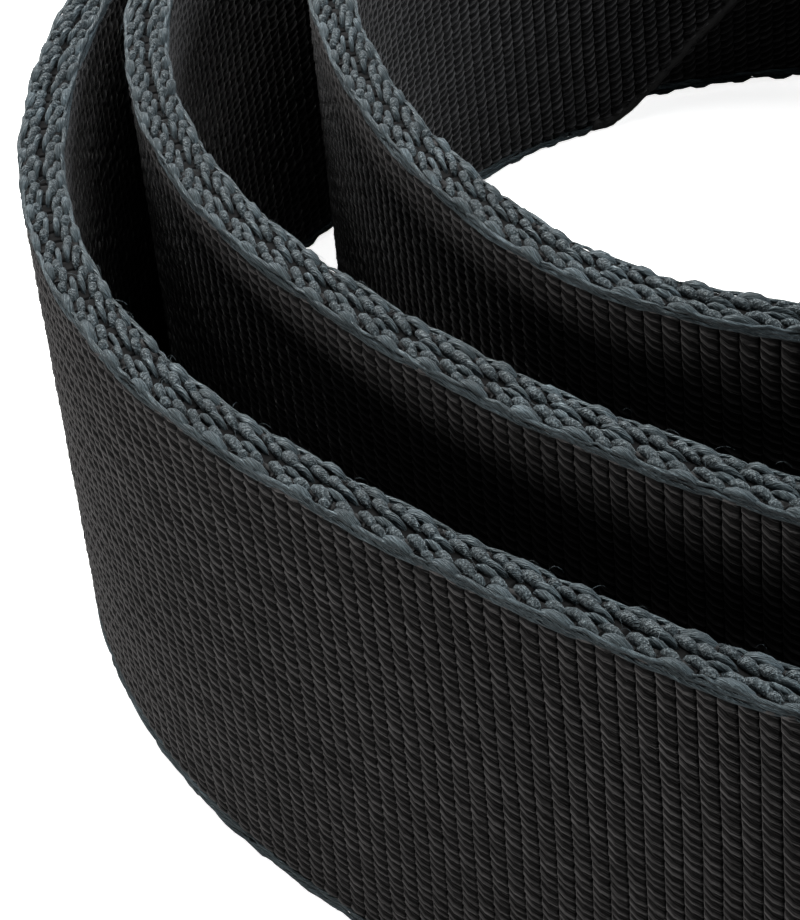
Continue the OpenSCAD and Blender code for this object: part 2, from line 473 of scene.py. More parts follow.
@dataclass
class Webbing:
    """The belt's double-woven webbing: ribs across both faces, braided edges, melted ends."""

    route: Route
    width: float = 50.0
    thickness: float = 4.5
    edge: float = 1.5
    rib: float = 1.73
    bumps: int = 51
    depth: float = 0.62
    cut_from: float = 47.6
    cut_heading: float = 171.5
    corner: float = 3.0
    rib_shares: tuple[float, ...] = (0.0, 0.17, 0.5, 0.83, 0.985)
    rib_profile: tuple[float, ...] = (0.10, 0.82, 1.0, 0.74, 0.05)
    bump_shares: tuple[float, ...] = (0.0, 0.22, 0.62)
    bump_profile: tuple[float, ...] = (0.0, 1.0, 0.86)
    slant: float = 1.0
    bulge: float = 0.34
    bow: float = 0.35
    bump_stray: float = 0.11
    bump_uneven: float = 0.10
    edge_tuck: float = 0.85
    weft_wave: float = 0.12
    bead: float = 1.15
    braid_repeat: float = 3.0
    braid: tuple[FloatForm, ...] = (
        FloatForm(0.02, 0.74, 0.70, 0.84, 0.44, 0.38, 0.02),
        FloatForm(-0.06, 0.50, 0.22, 0.52, 0.42, 0.54, 0.06, True),
        FloatForm(0.34, 0.94, 0.12, 0.54, 0.44, 0.58, -0.06, True),
        FloatForm(0.60, 1.26, 0.02, 0.26, 0.28, 0.50, 0.04),
        FloatForm(0.72, 1.12, 0.48, 0.74, 0.42, 0.48, 0.10, True),
    )
    braid_near: float = 0.14
    braid_slip: float = 0.045
    braid_wander: float = 0.07
    braid_uneven: float = 0.10
    braid_heave: float = 0.06
    braid_top: float = 0.08
    braid_dip: float = 0.68
    strand_heights: tuple[float, ...] = (0.62, 1.02, 1.42)
    strand_ribs: float = 7.0
    strand_thick: float = 0.22
    strand_dip: float = 0.2

    def cut_height(self, along: np.ndarray) -> np.ndarray:
        """Finds the slanted cut at the free end, whose low corner is rounded.

        Args:
            along: Lengths along the belt.

        Returns:
            The cut's height over the lower edge at each length.
        """
        x, y, _ = self.route.at(along)
        end_x, end_y, _ = self.route.at(np.array(self.cut_from))
        chord = math.radians(self.cut_heading)
        back = (end_x - x) * math.cos(chord) + (end_y - y) * math.sin(chord)
        back = np.where(along > self.cut_from, self.cut_from - along, back)
        return 0.5 * (back + np.sqrt(back * back + self.corner**2))

    def ring_profile(self) -> tuple[np.ndarray, np.ndarray]:
        """Draws the ledge under the braid.

        Returns:
            Its out and up coordinates, from the outer ply to the inner one.
        """
        out = np.array([1.75, 0.6, 0.25, -0.25, -0.6, -1.75])
        up = np.array([0.75, 0.45, 0.50, 0.50, 0.45, 0.75]) - self.edge
        return out, up

    def band(self, first: int, last: int, cut: bool = False) -> Shell:
        """Weaves a stretch of the belt as one closed band.

        Args:
            first: The first rib.
            last: The rib after the last one.
            cut: Whether the slanted cut at the free end crosses this stretch.

        Returns:
            The band's shell, whose map coordinates count ribs and bumps.
        """
        per = len(self.rib_shares)
        columns = np.arange((last - first) * per + 1)
        rib = first + columns // per
        spot = columns % per
        share = np.array(self.rib_shares)[spot]
        swell = np.array(self.rib_profile)[spot]
        per_bump = len(self.bump_profile)
        rows = np.arange(self.bumps * per_bump + 1)
        turns = rows // per_bump + np.array(self.bump_shares)[rows % per_bump]
        level = turns / self.bumps
        low = self.edge - 0.75
        tall = self.width - 2.0 * low
        pitch = tall / self.bumps
        steady = ease(np.minimum(level, 1.0 - level) * self.bumps / 2.0 - 0.25)
        wobble = 0.5 * (rib % 2) + 0.09 * np.sin(rib * 2.399) + 0.05 * np.sin(rib * 5.13)
        slope = np.where(share > 0.0, (1.0 - share) ** 1.7, 1.0) * self.slant
        shift = (wobble + slope)[:, None] * steady[None, :]
        bump = np.floor(turns + 0.4)
        stray = self.bump_stray * np.sin(rib[:, None] * 37.7 + bump[None, :] * 51.3) * steady[None, :]
        up = low + tall * level[None, :] + pitch * (shift - 0.6 * steady + stray)
        bow = self.bow * np.sin(math.pi * level)[None, :] * (1.0 + 0.4 * np.sin(rib * 0.05))[:, None]
        bow = bow + 0.03 * np.sin(level * 23.0 + rib[:, None] * 0.31)
        lump = np.array(self.bump_profile)[rows % per_bump][None, :]
        lean = np.sign(share - 0.5)
        along = (rib + share)[:, None] * self.rib + bow + self.bulge * lean[:, None] * (lump - 0.6)
        mixed = rib[:, None] * 12.9898 + (rows // per_bump)[None, :] * 78.233
        uneven = 1.0 + self.bump_uneven * np.sin(mixed)
        proud = swell[:, None] * lump * uneven
        half_width = self.width / 2.0
        tuck = self.edge_tuck * ease((np.abs(up - half_width) - (half_width - self.edge)) / 0.6)
        out = self.thickness / 2.0 - self.depth * (1.0 - proud) - tuck
        ledge_out, ledge_up = self.ring_profile()
        shape = (len(columns), len(ledge_out))
        weft = self.weft_wave * np.where(spot == 0, -1.0, 0.5)[:, None]
        top = np.broadcast_to(self.width + ledge_up, shape) + weft
        bottom = np.broadcast_to(-ledge_up, shape) - weft
        plain = np.broadcast_to(((rib + share) * self.rib)[:, None], shape)
        ledge = np.broadcast_to(ledge_out, shape)
        s = np.concatenate([along, plain, along[:, ::-1], plain], axis=1)
        n = np.concatenate([out, ledge, -out[:, ::-1], ledge[:, ::-1]], axis=1)
        z = np.concatenate([up, top, up[:, ::-1], bottom[:, ::-1]], axis=1)
        count = len(rows)
        sides = s.shape[1]
        quads = grid_faces(len(columns), sides, wrap=True)
        if cut:
            floor = self.cut_height(s)
            below = z <= floor
            z = np.maximum(z, floor)
            face_rows = np.zeros(sides, bool)
            face_rows[:count] = True
            face_rows[count + len(ledge_out):2 * count + len(ledge_out)] = True
            flat = np.sign(n) * (self.thickness / 2.0 - self.depth)
            n = np.where(below & face_rows[None, :], flat, n)
            own = np.arange(s.size).reshape(s.shape)
            edge_of_face = np.where(np.arange(sides) < count, sides - 1, sides - shape[1])
            rim = np.arange(len(columns))[:, None] * sides + edge_of_face[None, :]
            kept = np.where(below & face_rows[None, :], rim, own)
            quads = kept.ravel()[quads]
        ledge_count = shape[1]
        turns = np.concatenate([turns, np.full(ledge_count, self.bumps),
                                turns[::-1], np.zeros(ledge_count)])
        woven = np.tile(np.concatenate([np.ones(count), np.zeros(ledge_count)]), 2)
        ribs = rib[:, None] + share[:, None] * woven[None, :]
        chart = np.stack([ribs, np.broadcast_to(turns, s.shape)], -1)
        points = self.route.place(s, n, z)
        if cut:
            points = points.reshape(-1, 3)[kept]
        shell = turned_outward(Shell(points.reshape(-1, 3), collapsed(quads), chart.reshape(-1, 2)))
        whole = np.arange(sides)[None]
        caps = [Shell(points[i], [whole[:, ::step]], chart[i]) for i, step in ((0, 1), (-1, -1))]
        return joined([shell, *caps])

    def braided_row(self, ply: Ply, edge: Edge, start: float, end: float, seed: int) -> Shell:
        """Braids one edge row of one ply, with its strands down the face.

        Args:
            ply: The ply whose edge it is.
            edge: The upper or the lower edge.
            start: Where the row starts along the belt, in mm.
            end: Where it ends.
            seed: Seed of the small irregularities.

        Returns:
            The row's floats as one shell.
        """
        chance = np.random.default_rng(seed)
        near, far = self.braid_near, self.thickness / 2.0
        side = ply.value
        mid = self.width / 2.0

        def on_edge(along: np.ndarray, across: np.ndarray, rise: np.ndarray) -> np.ndarray:
            """Places a point of the braid that covers the edge."""
            return self.route.place(along, side * across, mid + edge.value * (mid + rise))

        def on_face(along: np.ndarray, across: np.ndarray, rise: np.ndarray) -> np.ndarray:
            """Places a point of the strands down the face, which the ribs under them push about.

            Args:
                along: Length along the belt.
                across: How far down the face from the edge.
                rise: Height over the face.

            Returns:
                The point in mm.
            """
            beat = 2.0 * math.pi * along / self.rib
            out = far + rise + 0.10 * np.cos(beat)
            level = mid - across - 0.09 * np.sin(beat / 2.0)
            return self.route.place(along, side * out, mid + edge.value * level)

        repeat = self.braid_repeat * self.rib
        count = int((end - start) / repeat)
        base = start + np.arange(count) * repeat
        shells = []
        for form in self.braid:
            slip = chance.normal(0.0, self.braid_slip * repeat, (count, 2))
            wander = chance.normal(0.0, self.braid_wander, (count, 2))
            across = np.array([form.across_start, form.across_end])
            if side < 0.0:
                across = across[::-1]
            begin, finish = (
                np.stack([base + share * repeat + slip[:, k],
                          near + (far - near) * across[k] + wander[:, k]], -1)
                for k, share in enumerate((form.start, form.end)))
            size = 1.0 + chance.normal(0.0, self.braid_uneven, count)
            heave = chance.normal(0.0, self.braid_heave, count)
            tops = np.minimum(-form.sink + heave, self.braid_top)
            inside = finish[:, 0] < end
            shells.append(float_shells(
                begin[inside], finish[inside], tops[inside], (form.half_width * size)[inside],
                (form.half_height * size)[inside], self.braid_dip, 6, 8, on_edge,
                CRIMP_SHIFT if form.crimped else 0.0))
        for strand, height in enumerate(self.strand_heights):
            length = (self.strand_ribs + strand) * self.rib
            count = int((end - start) / length)
            begin = start + (np.arange(count) + 0.37 * strand) * length
            begin = np.stack([begin, height + chance.normal(0.0, 0.03, count)], -1)
            finish = begin + np.stack([np.full(count, length * 1.05), chance.normal(0.04, 0.04, count)], -1)
            inside = finish[:, 0] < end
            thick = np.full(count, self.strand_thick)[inside]
            tops = 0.06 + chance.normal(0.0, 0.05, count)[inside]
            shells.append(float_shells(
                begin[inside], finish[inside], tops, thick, thick, self.strand_dip, 14, 6, on_face))
        return joined(shells)

    def stray_fibres(self, start: float, end: float, count: int, seed: int) -> Shell:
        """Frays single filaments out of the upper braid.

        Args:
            start: Where they start along the belt, in mm.
            end: Where they end.
            count: How many there are.
            seed: Seed of their places.

        Returns:
            The filaments as one shell.
        """
        chance = np.random.default_rng(seed)

        def on_edge(along: np.ndarray, across: np.ndarray, rise: np.ndarray) -> np.ndarray:
            """Places a point over the upper edge."""
            return self.route.place(along, across, self.width + rise)

        rooted, overhang, thinness = 2.4, 2.6, 0.02
        begin = np.stack([chance.uniform(start, end, count), chance.uniform(-rooted, rooted, count)], -1)
        heading = chance.normal(0.0, 0.7, count)
        reach = chance.uniform(0.8, 2.4, count)[:, None]
        finish = begin + reach * np.stack([np.cos(heading), np.sin(heading)], -1)
        finish[:, 1] = np.clip(finish[:, 1], -overhang, overhang)
        thin = np.full(count, thinness)
        tops = chance.uniform(0.08, 0.42, count)
        return float_shells(begin, finish, tops, thin, thin, 0.5, 8, 4, on_edge)

    def melted_edge(self, along: np.ndarray, up: np.ndarray, seed: int) -> Shell:
        """Makes the bead that a hot knife leaves along a cut.

        Args:
            along: Lengths along the belt of the cut's points.
            up: Their heights.
            seed: Seed of the bead's unevenness.

        Returns:
            The bead's closed shell.
        """
        chance = np.random.default_rng(seed)
        sides = 16
        angle = round_angles(sides)
        run = np.stack([np.gradient(along), np.gradient(up)], -1)
        run /= np.linalg.norm(run, axis=1)[:, None]
        share = np.linspace(0.0, 1.0, len(along))
        taper = np.clip(np.minimum(share, 1.0 - share) * len(along) / 2.5 + 0.35, 0.0, 1.0)
        rough = 1.0 + 0.05 * chance.standard_normal((len(along), sides))
        half = (self.thickness / 2.0 - 0.1) * taper[:, None] * rough
        reach = self.bead * taper[:, None] * rough
        across = half * np.sign(np.cos(angle)) * np.abs(np.cos(angle)) ** 0.6
        off = reach * np.sin(angle)
        s = along[:, None] - run[:, 1:] * off
        z = up[:, None] + run[:, :1] * off
        chart = np.stack(np.broadcast_arrays(share[:, None] * 30.0, angle / 2.0), -1)
        return turned_outward(tube(self.route.place(s, across, np.maximum(z, 0.0)), chart))


# ---------------------------------------------------------------- buckle


@dataclass
class BuckleSpace:
    """The buckle's own space: x along the sewn end, y to the coil, z up, from the bar's middle."""

    bar: Vector
    pin: Vector

    def place(self, points: np.ndarray) -> np.ndarray:
        """Turns points of the buckle's own space into the belt's.

        Args:
            points: The points in mm, with x, y and z in the last axis.

        Returns:
            The same points in the belt's space, in mm.
        """
        x, y, z = points[..., 0], points[..., 1], points[..., 2]
        return np.stack([self.bar.x - y, self.bar.y + x, self.bar.z + z], -1)

    def pin_spot(self) -> tuple[float, float]:
        """Returns where the hinge pin is in the buckle's own space."""
        return self.pin.y - self.bar.y, self.bar.x - self.pin.x

    def stand(self, name: str, solid: bmesh.types.BMesh, spot: tuple[float, float]) -> bpy.types.Object:
        """Makes an object out of a mesh that is drawn about a spot.

        Args:
            name: The piece's name.
            solid: The mesh in mm, which is freed.
            spot: Where its origin stands in the buckle's own space.

        Returns:
            The new object, in metres.
        """
        points = self.place(np.array([v.co for v in solid.verts]) + np.array([*spot, 0.0]))
        for vert, point in zip(solid.verts, points):
            vert.co = Vector(point) * MM
        mesh = bpy.data.meshes.new(name)
        solid.to_mesh(mesh)
        solid.free()
        piece = bpy.data.objects.new(name, mesh)
        bpy.context.scene.collection.objects.link(piece)
        return piece


@dataclass
class PressedFrame:
    """The buckle's frame: one steel sheet, cut, punched and folded into a channel with two ears a side."""

    space: BuckleSpace
    sheet: float = 2.0
    plate_y: float = 3.3
    flange_z: float = 27.0
    bend: float = 1.6
    rear: float = 9.1
    front: float = 60.0
    ear: float = 6.5
    bar_hole: float = 3.0
    pin_hole: float = 2.0
    bend_cuts: int = 6
    lip: float = 1.6

    def levels(self) -> tuple[float, float]:
        """Measures the flat sheet before it is folded.

        Returns:
            How far from its middle a flange begins, and how far the holes are.
        """
        root = self.flange_z - self.bend + self.bend * math.pi / 2.0
        return root, root + self.plate_y - self.bend

    def half_outline(self) -> list[tuple[float, float, float]]:
        """Draws one half of the flat sheet.

        Returns:
            x, y and rounding radius of its corners, from its front to its rear edge.
        """
        root, level = self.levels()
        rim = level + 3.0
        pin_x, pin_y = self.space.pin_spot()
        crown = level - pin_y + self.ear
        return [
            (self.front, rim, 5.0), (pin_x + 13.0, rim, 5.0), (pin_x + 5.6, crown, 6.0),
            (pin_x - 5.6, crown, 6.0), (pin_x - 13.0, rim, 5.0), (8.4, rim, 3.0),
            (self.ear, level + self.ear, 4.5),
            (-self.ear, level + self.ear, self.ear), (-self.ear, level - self.ear, self.ear),
            (self.ear, level - self.ear, 6.2), (self.ear, root, 0.2), (self.rear, root, 1.0),
        ]

    def folded(self, x: float, w: float) -> tuple[float, float, float]:
        """Folds a point of the flat sheet with the sheet's sides.

        Args:
            x: How far along the sheet the point is.
            w: How far from the sheet's middle it is.

        Returns:
            The folded point in the buckle's own space.
        """
        side = math.copysign(1.0, w)
        flat = self.flange_z - self.bend
        past = abs(w) - flat
        quarter = self.bend * math.pi / 2.0
        on_plate = x > self.rear - 0.8
        if on_plate and past <= 0.0:
            return x, self.plate_y, w
        if on_plate and past < quarter:
            turn = past / self.bend
            level = self.plate_y - self.bend * (1.0 - math.cos(turn))
            return x, level, side * (flat + self.bend * math.sin(turn))
        return x, self.plate_y - self.bend - (past - quarter), side * self.flange_z

    def filled(self, loops: Sequence[np.ndarray],
               holes: Sequence[tuple[Vector, float]]) -> bmesh.types.BMesh:
        """Fills the flat sheet with triangles.

        Args:
            loops: The outline and then the holes, as points.
            holes: The centre and radius of each hole.

        Returns:
            The flat sheet.
        """
        edges: list[tuple[int, int]] = []
        for loop in loops:
            base = len(edges)
            edges += [(base + i, base + (i + 1) % len(loop)) for i in range(len(loop))]
        spots = [Vector(point) for loop in loops for point in loop]
        points, _, faces, *_ = delaunay_2d_cdt(spots, edges, [list(range(len(loops[0])))], 1, 1e-4)
        flat = bmesh.new()
        corners = [flat.verts.new((*point, 0.0)) for point in points]
        for face in faces:
            middle = sum((points[i] for i in face), Vector((0.0, 0.0))) / len(face)
            if all((middle - centre).length > radius * 0.99 for centre, radius in holes):
                flat.faces.new([corners[i] for i in face])
        return flat

    def build(self) -> bpy.types.Object:
        """Cuts, folds and rounds the sheet.

        Returns:
            The finished piece.
        """
        half = self.half_outline()
        outline = rounded(half + [(x, -w, r) for x, w, r in reversed(half)])
        _, level = self.levels()
        pin_x, pin_y = self.space.pin_spot()
        holes = [(Vector((x, side * w)), radius) for side in (-1.0, 1.0)
                 for x, w, radius in ((0.0, level, self.bar_hole), (pin_x, level - pin_y, self.pin_hole))]
        flat = self.filled([outline, *(ring(tuple(centre), radius, 32) for centre, radius in holes)], holes)
        quarter = self.bend * math.pi / 2.0
        for side in (-1.0, 1.0):
            for k in range(self.bend_cuts + 1):
                at = side * (self.flange_z - self.bend + quarter * k / self.bend_cuts)
                every = flat.verts[:] + flat.edges[:] + flat.faces[:]
                bmesh.ops.bisect_plane(
                    flat, geom=every, dist=1e-5, plane_co=(0.0, at, 0.0), plane_no=(0.0, 1.0, 0.0))
        for vert in flat.verts:
            vert.co = self.folded(vert.co.x, vert.co.y)
        bmesh.ops.recalc_face_normals(flat, faces=flat.faces[:])
        piece = self.space.stand("buckle_channel", flat, (0.0, 0.0))
        thicken = piece.modifiers.new("thickness", "SOLIDIFY")
        thicken.thickness = self.sheet * MM
        thicken.offset = 0.0
        thicken.use_even_offset = True
        rims = piece.modifiers.new("rims", "BEVEL")
        rims.width = 0.4 * MM
        rims.segments = 3
        rims.limit_method = "ANGLE"
        rims.angle_limit = math.radians(50.0)
        return settled(piece, 40.0)

    def rolled_lip(self) -> bpy.types.Object:
        """Makes the round bead along the base plate's front edge.

        Returns:
            The finished piece.
        """
        half = self.flange_z + self.sheet / 2.0
        radius = self.lip
        turn = np.linspace(0.0, math.pi / 2.0, 6)
        start = [(0.0, -half)]
        start += [(radius * math.sin(t), -half + 0.7 * (1.0 - math.cos(t))) for t in turn[1:]]
        profile = start + [(r, -z) for r, z in reversed(start)]
        shell = lathe(profile, 28)
        centre = np.array([self.front, self.plate_y + 0.6, 0.0])
        shell.points = self.space.place(shell.points + centre)
        return mesh_object("rolled_lip", turned_outward(shell), 50.0)


def settled(piece: bpy.types.Object, sharp: float) -> bpy.types.Object:
    """Applies a piece's modifiers and shades it smooth.

    Args:
        piece: The object, with its modifiers.
        sharp: Edges sharper than this, in degrees, stay sharp.

    Returns:
        The same object with a plain mesh.
    """
    bpy.context.view_layer.update()
    graph = bpy.context.evaluated_depsgraph_get()
    mesh = bpy.data.meshes.new_from_object(piece.evaluated_get(graph))
    piece.modifiers.clear()
    old = piece.data
    piece.data = mesh
    bpy.data.meshes.remove(old)
    mesh.shade_smooth()
    mesh.set_sharp_from_angle(angle=math.radians(sharp))
    return piece


@dataclass
class Lever:
    """The cast lever: a toothed barrel on the hinge pin and a flat handle with a rolled grip."""

    space: BuckleSpace
    half: float = 24.0
    barrel: float = 6.0
    bore: float = 2.08
    teeth: tuple[float, ...] = (-16.0, -8.0, 0.0, 8.0, 16.0)
    tooth: float = 1.1
    handle: float = 42.0
    handle_t: float = 2.2
    grip: float = 1.6
    grip_y: float = -5.2
    ridges: tuple[float, ...] = (-36.6, -34.2, -31.8, -29.4)
    corner: float = 8.0

    def outline(self) -> np.ndarray:
        """Draws the lever from the side.

        Returns:
            The closed outline's points about the hinge pin, shape (count, 2).
        """
        top = -self.barrel
        under = top + self.handle_t
        corners = [(0.0, top, 0.0)]
        for x in reversed(self.ridges):
            corners += [(x + 0.9, top, 0.5), (x, top - 0.5, 0.45), (x - 0.9, top, 0.5)]
        points = list(rounded(corners, 20.0))
        first = math.degrees(math.asin((top - self.grip_y) / self.grip))
        last = math.degrees(math.asin((under - self.grip_y) / self.grip)) - 360.0
        grip = np.array([-self.handle, self.grip_y])
        for angle in np.radians(np.linspace(first, last, 20)):
            points.append(grip + self.grip * np.array([math.cos(angle), math.sin(angle)]))
        meet = 180.0 + math.degrees(math.asin(-under / self.barrel))
        neck = -math.sqrt(self.barrel**2 - under**2)
        fillet = ((2.2, 0.0), (1.1, 0.15), (0.45, 0.7))
        points += [np.array([neck - back, under + rise]) for back, rise in fillet]
        for angle in np.radians(np.linspace(meet - 14.0, 90.0 + self.teeth[-1] + 6.0, 9)):
            points.append(self.barrel * np.array([math.cos(angle), math.sin(angle)]))
        for lean in reversed(self.teeth):
            for off, reach in ((3.6, 0.0), (0.9, self.tooth), (-0.9, self.tooth), (-3.6, 0.0)):
                angle = math.radians(90.0 + lean + off)
                points.append((self.barrel + reach) * np.array([math.cos(angle), math.sin(angle)]))
        for angle in np.radians(np.linspace(90.0 + self.teeth[0] - 8.0, -82.0, 22)):
            points.append(self.barrel * np.array([math.cos(angle), math.sin(angle)]))
        return np.array(points)

    def build(self) -> bpy.types.Object:
        """Lofts the outline across the lever, with soft sides and rounded handle corners.

        Returns:
            The finished piece.
        """
        outline = self.outline()
        ahead = np.roll(outline, -1, axis=0) - np.roll(outline, 1, axis=0)
        normal = np.stack([ahead[:, 1], -ahead[:, 0]], -1) / np.linalg.norm(ahead, axis=1)[:, None]
        rim = ((0.0, 0.42), (0.12, 0.2), (0.35, 0.05), (0.7, 0.0))
        spread = self.half - np.array([0.7, 1.6, 2.6, 3.8, 5.2, 6.8, 8.4])
        levels = [(-self.half + d, inset) for d, inset in rim] + [(-z, 0.0) for z in spread[1:]]
        levels += [(-z, inset) for z, inset in reversed(levels)]
        rings = []
        for z, inset in levels:
            over = max(0.0, abs(z) - (self.half - self.corner))
            pull = self.corner - math.sqrt(max(0.0, self.corner**2 - over**2))
            section = outline + normal * inset
            reach = np.clip((-section[:, 0] - self.barrel) / (self.handle - self.barrel), 0.0, 1.1)
            x = section[:, 0] + pull * 0.75 * reach**2
            rings.append(np.stack([x, section[:, 1], np.full(len(x), z)], -1))
        rings = np.array(rings)
        count, sides = rings.shape[:2]
        solid = bmesh.new()
        bore = ring((0.0, 0.0), self.bore, 32)
        ends = []
        for level in (0, count - 1):
            loop = [solid.verts.new(p) for p in rings[level]]
            hole = [solid.verts.new((*p, rings[level][0, 2])) for p in bore]
            ends.append((loop, hole))
        between = [[solid.verts.new(p) for p in rings[i]] for i in range(1, count - 1)]
        rows = [ends[0][0], *between, ends[1][0]]
        for lower, upper in zip(rows, rows[1:]):
            for i in range(sides):
                solid.faces.new((lower[i - 1], lower[i], upper[i], upper[i - 1]))
        for i in range(len(bore)):
            solid.faces.new((ends[0][1][i - 1], ends[0][1][i], ends[1][1][i], ends[1][1][i - 1]))
        for loop, hole in ends:
            edges = [solid.edges.get((line[i - 1], line[i]))
                     for line in (loop, hole) for i in range(len(line))]
            bmesh.ops.triangle_fill(solid, use_beauty=True, use_dissolve=False, edges=edges)
        bmesh.ops.remove_doubles(solid, verts=solid.verts[:], dist=0.01)
        bmesh.ops.recalc_face_normals(solid, faces=solid.faces[:])
        piece = self.space.stand("release_lever", solid, self.space.pin_spot())
        piece.data.shade_smooth()
        piece.data.set_sharp_from_angle(angle=math.radians(38.0))
        return piece


@dataclass
class TurnedParts:
    """The buckle's turned parts: the anchor bar, the riveted hinge pin and its washer."""

    space: BuckleSpace
    outside: float = 28.0
    bar: float = 3.0
    pin: float = 2.0
    head: float = 3.6
    head_h: float = 1.5
    washer: float = 4.0
    washer_h: float = 0.8
    peen: float = 3.0
    peen_h: float = 0.8

    def turned(self, name: str, profile: Sequence[tuple[float, float]], spot: tuple[float, float],
               sides: int) -> bpy.types.Object:
        """Turns a profile and stands it at a spot.

        Args:
            name: The piece's name.
            profile: Radius and height of each point.
            spot: Where its axis stands in the buckle's own space.
            sides: Points round a turn.

        Returns:
            The finished piece.
        """
        shell = lathe(profile, sides)
        shell.points = self.space.place(shell.points + np.array([*spot, 0.0]))
        return mesh_object(name, turned_outward(shell), 45.0)

    def anchor_rod(self) -> bpy.types.Object:
        """Makes the bar that the webbing loops round, staked flush in the flanges.

        Returns:
            The finished piece.
        """
        end = self.outside
        half = [(0.0, -end + 0.15), (1.1, -end + 0.12), (2.2, -end), (self.bar - 0.25, -end + 0.05),
                (self.bar, -end + 0.35), (self.bar, -end + 2.0), (self.bar, -8.0)]
        whole = half + [(r, -z) for r, z in reversed(half)]
        return self.turned("anchor_rod", whole, (0.0, 0.0), 48)

    def hinge_rivet(self) -> bpy.types.Object:
        """Makes the hinge pin, with a domed head above and a peened end below.

        Returns:
            The finished piece.
        """
        low = -self.outside - self.washer_h - self.peen_h
        top = self.outside + self.head_h
        profile = [(0.0, low), (1.6, low + 0.04), (2.5, low + 0.2), (self.peen, low + 0.5),
                   (self.peen, low + self.peen_h), (self.pin, low + self.peen_h), (self.pin, 0.0),
                   (self.pin, self.outside), (self.head, self.outside), (self.head, self.outside + 0.45),
                   (self.head - 0.5, top - 0.55), (self.head - 1.4, top - 0.16),
                   (self.head - 2.4, top - 0.02), (0.0, top)]
        return self.turned("hinge_rivet", profile, self.space.pin_spot(), 40)

    def pin_ring(self) -> bpy.types.Object:
        """Makes the washer under the peened end.

        Returns:
            The finished piece.
        """
        low = -self.outside - self.washer_h
        high = -self.outside
        soft = 0.15
        section = [(self.pin + soft, low), (self.washer - soft, low), (self.washer, low + soft),
                   (self.washer, high - soft), (self.washer - soft, high), (self.pin + soft, high),
                   (self.pin, high - soft), (self.pin, low + soft)]
        sides = 40
        angle = round_angles(sides)[:, None]
        line = np.array(section)[None]
        rings = np.stack([line[..., 0] * np.cos(angle), line[..., 0] * np.sin(angle),
                          np.broadcast_to(line[..., 1], (sides, len(section)))], -1)
        spot = np.array([*self.space.pin_spot(), 0.0])
        points = self.space.place(rings.reshape(-1, 3) + spot)
        count = len(section)
        quads = grid_faces(sides + 1, count, wrap=True) % (sides * count)
        return mesh_object("pin_ring", turned_outward(Shell(points, [quads])), 45.0)


@dataclass
class BoxStitching:
    """The sewn box with a cross in it and the bar across the tail, on both faces of the double layer."""

    space: BuckleSpace
    face: float = 4.5
    box_x: tuple[float, float] = (-50.0, -18.0)
    box_z: float = 19.0
    tack_x: float = -54.5
    stitch: float = 2.9
    thread: float = 0.9
    proud: float = 0.42
    flat: float = 0.8
    dive: float = 0.4

    def build(self) -> bpy.types.Object:
        """Sews every stitch as its own short float.

        Returns:
            The finished piece.
        """
        left, right = self.box_x
        a, b = (left, -self.box_z), (right, -self.box_z)
        c, d = (right, self.box_z), (left, self.box_z)
        runs = [(a, b), (b, c), (c, d), (d, a), (a, c), (b, d),
                ((self.tack_x, -self.box_z), (self.tack_x, self.box_z))]
        starts: list[np.ndarray] = []
        ends: list[np.ndarray] = []
        for begin, finish in runs:
            line = np.array(finish) - np.array(begin)
            length = float(np.linalg.norm(line))
            count = round(length / self.stitch)
            step = line / count
            for k in range(count):
                starts.append(np.array(begin) + step * (k + 0.05))
                ends.append(np.array(begin) + step * (k + 0.95))
        size = np.full(len(starts), self.thread / 2.0)
        tops = np.full(len(starts), self.proud)
        shells = []
        for side in (-1.0, 1.0):

            def on_face(x: np.ndarray, z: np.ndarray, rise: np.ndarray, side: float = side) -> np.ndarray:
                """Places a point of a stitch on one face of the double layer."""
                return self.space.place(np.stack([x, side * (self.face + rise), z], -1))

            shells.append(float_shells(
                np.array(starts), np.array(ends), tops, size, size * self.flat, self.dive, 8, 8, on_face))
        return mesh_object("box_stitching", joined(shells))


# ---------------------------------------------------------------- finishes


